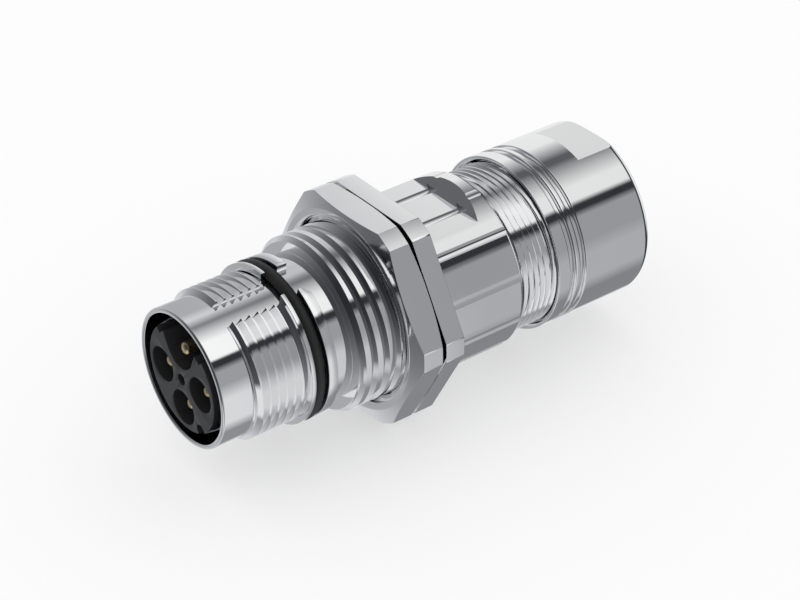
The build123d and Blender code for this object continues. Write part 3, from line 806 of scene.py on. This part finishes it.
insert = lathe("insert", [
    (0, 0, 0), (INSERT_R, 0, 0.08), (INSERT_R, WEB_END_Y, 0), (BODY_R, WEB_END_Y, 0),
    (BODY_R, SEAL_Y, 0), (SEAL_FLOOR_R, SEAL_Y, 0), (SEAL_FLOOR_R, SEAL_END_Y, 0),
    (BODY_R, SEAL_END_Y, 0), (BODY_R, BODY_END_Y, 0), (0, BODY_END_Y, 0),
])
WELL_R, WELL_CIRCLE_R, WELL_DEPTH = 1.975, 3.5, 7.6
for x, z in ((-WELL_CIRCLE_R, 0), (0, -WELL_CIRCLE_R), (WELL_CIRCLE_R, 0)):
    cut(insert, prism("well_cutter", circle_at(x, z, WELL_R), -1, WELL_DEPTH))
SLOT_R, SLOT_Z, FLARE, MOUTH = 2.4, 3.9, radians(25), 5.9
flare_x, flare_z = SLOT_R * cos(FLARE), SLOT_Z - SLOT_R * sin(FLARE)
mouth_z = flare_z + (MOUTH / 2 - flare_x) / tan(FLARE)
slot_outline = [(-MOUTH / 2, 8), (-MOUTH / 2, mouth_z), (-flare_x, flare_z)]
for t in range(1, 24):
    a = pi + FLARE + (pi - 2 * FLARE) * t / 24
    slot_outline.append((SLOT_R * cos(a), SLOT_Z + SLOT_R * sin(a)))
slot_outline += [(flare_x, flare_z), (MOUTH / 2, mouth_z), (MOUTH / 2, 8)]
cut(insert, prism("slot_cutter", slot_outline, -1, WELL_DEPTH))
LIP_R, LIP_HALF, LIP_STEP = 5.3, 44, 4
lip = [place(LIP_R, 0, a) / MM for a in range(-LIP_HALF, LIP_HALF + 1, LIP_STEP)]
lip += [place(7.0, 0, a) / MM for a in range(LIP_HALF, -LIP_HALF - 1, -LIP_STEP)]
cut(insert, prism("lip_cutter", [(p.x, p.z) for p in lip], -1, WEB_Y))
KEY_ANGLE, KEY_HALF, KEY_R = 147.4, 0.675, 5.625
key = radians(KEY_ANGLE)
key_at = Vector((sin(key), cos(key)))
key_side = Vector((cos(key), -sin(key)))
groove = []
for t in range(13):
    a = pi * t / 12
    p = key_at * (KEY_R - KEY_HALF * sin(a)) + key_side * KEY_HALF * cos(a)
    groove.append((p.x, p.y))
for s in (-KEY_HALF, KEY_HALF):
    p = key_at * 7.0 + key_side * s
    groove.append((p.x, p.y))
cut(insert, prism("key_cutter", groove, -1, WEB_Y))
HOLE_R = 0.65
cut(insert, prism("hole_cutter", circle_at(0, 0, HOLE_R, 40), -1, WEB_Y))
# Node, place across and up, radius, and station of the tip
PINS = (
    ("contact_pe", 0, WELL_CIRCLE_R, PE_PIN_R, 0.45), ("contact_1", -WELL_CIRCLE_R, 0, PIN_R, 0.6),
    ("contact_2", 0, -WELL_CIRCLE_R, PIN_R, 0.6), ("contact_3", WELL_CIRCLE_R, 0, PIN_R, 0.6),
)
for node, x, z, radius, tip in PINS:
    bore = circle_at(x, z, radius + PIN_ROOM)
    cut(insert, prism("bore_cutter", bore, WELL_DEPTH - 0.5, BODY_END_Y + 0.5))
finish_mesh(insert, 24.0, 0.04)
dress(insert, "coupler", "insulator", "contact_insert")

# Gold contacts: pin with a domed tip, collar, and barrel with a solder bore
PIN_COLLAR_R, PIN_COLLAR_END_Y = 1.55, 13.9
SOLDER_R, SOLDER_BORE_R, SOLDER_Y, SOLDER_END_Y = 1.25, 0.8, 19.0, 24.0
for node, x, z, radius, tip in PINS:
    dome = [
        (radius * sin(pi / 2 * t / 8), tip + 0.55 * radius * (1 - cos(pi / 2 * t / 8)), 0)
        for t in range(9)
    ]
    pin = lathe("pin_" + node, [
        *dome, (radius, BODY_END_Y, 0), (PIN_COLLAR_R, BODY_END_Y, 0),
        (PIN_COLLAR_R, PIN_COLLAR_END_Y, 0), (SOLDER_R, PIN_COLLAR_END_Y, 0),
        (SOLDER_R, SOLDER_END_Y, 0), (SOLDER_BORE_R, SOLDER_END_Y, 0),
        (SOLDER_BORE_R, SOLDER_Y, 0), (0, SOLDER_Y, 0),
    ], segments=48)
    pin.data.transform(Matrix.Translation(Vector((x, 0, z)) * MM))
    finish_mesh(pin, 35.0)
    dress(pin, "coupler", "gold_contact", node)

# CAD nodes whose shape is right keep it and get their finish.
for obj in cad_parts.values():
    for holder in obj.material_slots:
        base = holder.material.name.split(".")[0] if holder.material else ""
        if base in FINISH:
            holder.material = FINISH[base]
